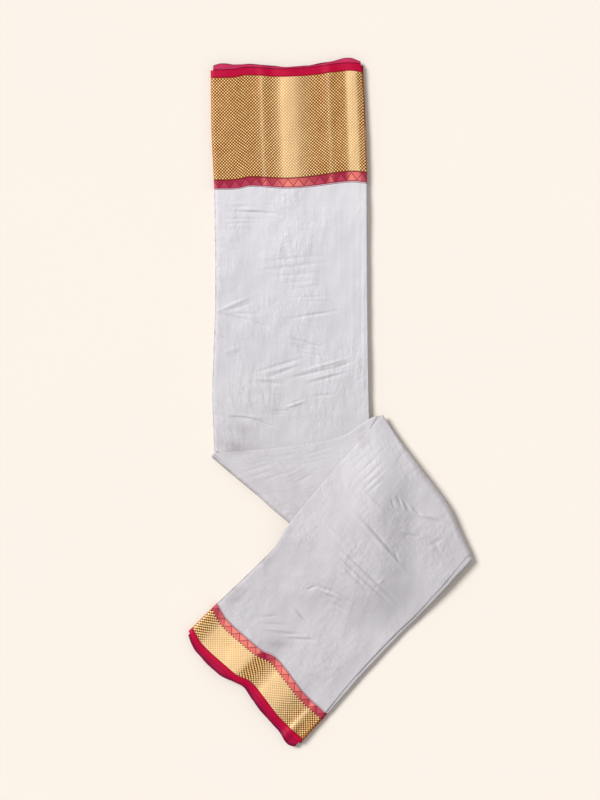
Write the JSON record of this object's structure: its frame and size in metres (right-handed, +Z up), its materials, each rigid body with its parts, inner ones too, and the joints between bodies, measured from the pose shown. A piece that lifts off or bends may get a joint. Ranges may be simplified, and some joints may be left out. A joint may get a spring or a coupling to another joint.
{
  "type": "folded silk sari",
  "caption": "Pale silk sari with gold woven borders and crimson selvages, pleated into a long flat pack and laid down folded in a zigzag.",
  "frame": {"origin": "on the surface it lies on, under the middle of the whole heap's box", "axes": "+X across the upper stretch from its closed edge to its open edge, +Y along the upper stretch towards the broad border, +Z up out of the surface"},
  "size_m": [0.3724, 0.9074, 0.0287],
  "materials": {
    "silk_field": "pale silk, plain weave, soft sheen",
    "gold_zari": "gold metal thread woven in a fine lozenge, bright sheen",
    "ornament_weave": "crimson and gold weave with a row of small triangles",
    "crimson_selvage": "dense crimson silk, satin sheen"
  },
  "bodies": {
    "root": {"hidden_layers": "silk_field", "upper_field": "silk_field", "middle_field": "silk_field", "lower_field": "silk_field", "upper_zari_border": "gold_zari", "lower_zari_border": "gold_zari", "upper_ornament_band": "ornament_weave", "lower_ornament_band": "ornament_weave", "upper_selvage": "crimson_selvage", "lower_selvage": "crimson_selvage", "upper_under_selvage": "crimson_selvage", "lower_under_selvage": "crimson_selvage"}
  },
  "joints": []
}
